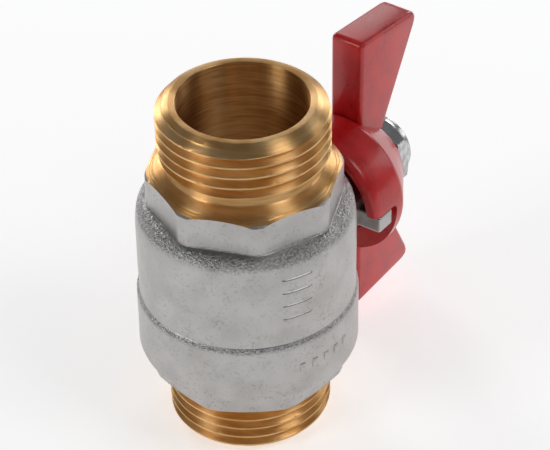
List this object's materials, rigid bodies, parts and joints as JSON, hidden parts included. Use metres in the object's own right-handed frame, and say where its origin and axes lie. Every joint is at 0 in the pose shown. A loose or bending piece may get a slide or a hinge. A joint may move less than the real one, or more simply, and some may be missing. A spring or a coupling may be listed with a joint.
{
  "type": "ball valve",
  "caption": "Straight full-bore ball valve with male pipe threads on both ends, an octagon on each end and a red butterfly handle turned a quarter turn between stops.",
  "frame": {"origin": "centre of the lower end face, on the pipe axis", "axes": "+Z along the pipe axis towards the upper threaded end of the body, +X along the stem axis towards the handle"},
  "size_m": [0.0594, 0.0354, 0.06],
  "materials": {
    "nickel_plated_brass": "nickel plated over a blasted forging, satin",
    "brass": "bare turned brass",
    "chromed_ball": "polished chrome on brass",
    "ptfe": "matt white",
    "rubber": "matt black",
    "red_enamel": "glossy red enamel on die-cast aluminium",
    "zinc_plated_steel": "bright zinc plate",
    "nylon": "translucent white"
  },
  "bodies": {
    "housing": {"valve_body": "nickel_plated_brass", "end_connection": "brass", "seat_ring_upper": "ptfe", "seat_ring_lower": "ptfe", "body_seal": "ptfe", "thrust_washer": "ptfe", "packing_ring_1": "ptfe", "packing_ring_2": "ptfe", "gland_nut": "brass"},
    "handle_set": {"handle": "red_enamel", "lock_nut": "zinc_plated_steel", "lock_nut_insert": "nylon", "stem": "brass", "stem_o_ring": "rubber"},
    "ball_body": {"ball": "chromed_ball"}
  },
  "joints": [
    {"name": "quarter_turn", "type": "hinge", "parent": "housing", "child": "handle_set", "pos_m": [0, 0, 0.03], "axis": [-1, 0, 0], "range_deg": [0, 90]},
    {"name": "ball_turn", "type": "hinge", "parent": "housing", "child": "ball_body", "pos_m": [0, 0, 0.03], "axis": [-1, 0, 0], "range_deg": [0, 90]}
  ],
  "couplings": [
    {"joint": "ball_turn", "follows": "quarter_turn", "ratio": 1}
  ]
}
